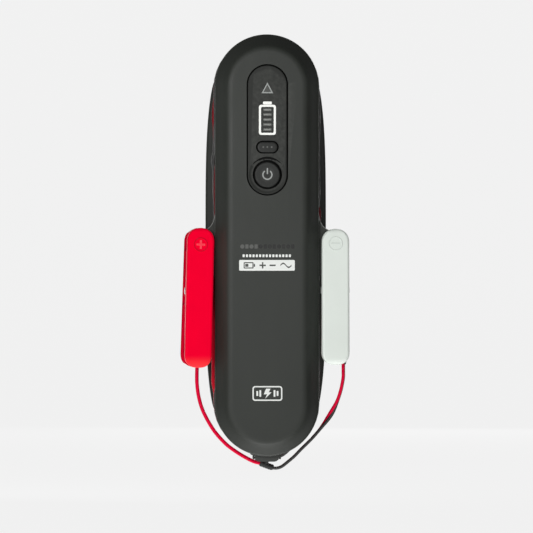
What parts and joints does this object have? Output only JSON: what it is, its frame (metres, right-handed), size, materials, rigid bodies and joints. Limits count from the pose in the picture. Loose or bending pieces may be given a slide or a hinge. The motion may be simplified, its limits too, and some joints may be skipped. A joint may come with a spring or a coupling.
{
  "type": "car battery charger",
  "caption": "Handheld car battery charger: a rounded housing with a button panel, cables wound into a waist and two sprung clamps parked on its sides.",
  "frame": {"origin": "middle of the flat back of the rear cover", "axes": "+Z along the housing towards the button end, the front looks towards -Y, +X to the right of someone facing the front"},
  "size_m": [0.1164, 0.0634, 0.3007],
  "materials": {
    "charcoal_plastic": "fine matt texture",
    "panel_grey_plastic": "smooth satin",
    "dark_grey_plastic": "matt",
    "grey_lens": "satin light guide",
    "green_circuit_board": "solder mask",
    "ferrite": "sintered ferrite",
    "yellow_winding_tape": "tape",
    "copper": "copper-plated",
    "zinc_steel": "zinc plated",
    "nickel_brass": "nickel plated",
    "aluminium": "extruded",
    "capacitor_sleeve": "shrink sleeve",
    "fuse_glass": "glass tube with caps, taken as opaque",
    "red_plastic": "satin gloss",
    "white_plastic": "satin gloss",
    "red_wire_jacket": "soft jacket",
    "black_wire_jacket": "soft jacket",
    "black_rubber": "matt"
  },
  "bodies": {
    "housing": {"bulk_capacitor": "capacitor_sleeve", "case_screw_1": "zinc_steel", "case_screw_2": "zinc_steel", "case_screw_3": "zinc_steel", "case_screw_4": "zinc_steel", "charge_light_guide_1": "grey_lens", "charge_light_guide_2": "grey_lens", "charge_light_guide_3": "grey_lens", "charge_light_guide_4": "grey_lens", "charge_light_guide_5": "grey_lens", "charging_wire_black": "black_wire_jacket", "charging_wire_grommet": "black_rubber", "charging_wire_red": "red_wire_jacket", "control_panel": "panel_grey_plastic", "fault_light_guide": "grey_lens", "front_cover": "charcoal_plastic", "front_seal": "black_rubber", "heatsink": "aluminium", "indicator_leds": "white_plastic", "keeper_pin": "zinc_steel", "lead_splitter": "black_rubber", "main_board": "green_circuit_board", "mains_cable": "black_wire_jacket", "mains_cable_grommet": "black_rubber", "mains_fuse": "fuse_glass", "negative_lead": "black_wire_jacket", "output_inductor": "copper", "positive_lead": "red_wire_jacket", "power_switch": "dark_grey_plastic", "rear_cover": "charcoal_plastic", "rear_seal": "black_rubber", "set_switch": "dark_grey_plastic", "spool_frame": "dark_grey_plastic", "transformer_core": "ferrite", "transformer_winding": "yellow_winding_tape", "ui_board": "green_circuit_board"},
    "cable_keeper": {"cable_keeper": "black_rubber"},
    "negative_clamp_front_lever": {"negative_clamp_front_jaw": "copper", "negative_clamp_front_lever": "white_plastic"},
    "negative_clamp": {"negative_clamp_lead_boot": "black_rubber", "negative_clamp_pivot_pin": "zinc_steel", "negative_clamp_rear_jaw": "copper", "negative_clamp_rear_lever": "white_plastic", "negative_clamp_spring": "zinc_steel"},
    "mains_plug": {"plug_body": "black_rubber", "plug_pin_1": "nickel_brass", "plug_pin_2": "nickel_brass"},
    "positive_clamp_front_lever": {"positive_clamp_front_jaw": "copper", "positive_clamp_front_lever": "red_plastic"},
    "positive_clamp": {"positive_clamp_lead_boot": "black_rubber", "positive_clamp_pivot_pin": "zinc_steel", "positive_clamp_rear_jaw": "copper", "positive_clamp_rear_lever": "red_plastic", "positive_clamp_spring": "zinc_steel"},
    "power_button": {"power_button": "panel_grey_plastic"},
    "set_button": {"set_button": "panel_grey_plastic"}
  },
  "joints": [
    {"name": "power_button_press", "type": "slide", "parent": "housing", "child": "power_button", "axis": [0, 1, 0], "range_m": [0, 0.0006], "stiffness_N_per_m": 900, "springref_m": -0.0006},
    {"name": "set_button_press", "type": "slide", "parent": "housing", "child": "set_button", "axis": [0, 1, 0], "range_m": [0, 0.0005], "stiffness_N_per_m": 900, "springref_m": -0.0006},
    {"name": "positive_clamp_release", "type": "slide", "parent": "housing", "child": "positive_clamp", "axis": [-0.9982, -0.0523, 0.0279], "range_m": [0, 0.032]},
    {"name": "positive_clamp_open", "type": "hinge", "parent": "positive_clamp", "child": "positive_clamp_front_lever", "pos_m": [-0.0472, -0.045, -0.0319], "axis": [0.9982, 0.0523, -0.0279], "range_deg": [0, 20], "stiffness_Nm_per_rad": 0.5, "springref_deg": -57.3},
    {"name": "negative_clamp_release", "type": "slide", "parent": "housing", "child": "negative_clamp", "axis": [1, 0, 0], "range_m": [0, 0.032]},
    {"name": "negative_clamp_open", "type": "hinge", "parent": "negative_clamp", "child": "negative_clamp_front_lever", "pos_m": [0.0474, -0.045, -0.03125], "axis": [1, 0, 0], "range_deg": [0, 20], "stiffness_Nm_per_rad": 0.5, "springref_deg": -57.3},
    {"name": "mains_plug_take_out", "type": "slide", "parent": "housing", "child": "mains_plug", "axis": [0, 1, 0], "range_m": [0, 0.03]},
    {"name": "cable_keeper_flip", "type": "hinge", "parent": "housing", "child": "cable_keeper", "pos_m": [0, -0.0432, -0.1475], "axis": [-1, 0, 0], "range_deg": [0, 90]}
  ]
}
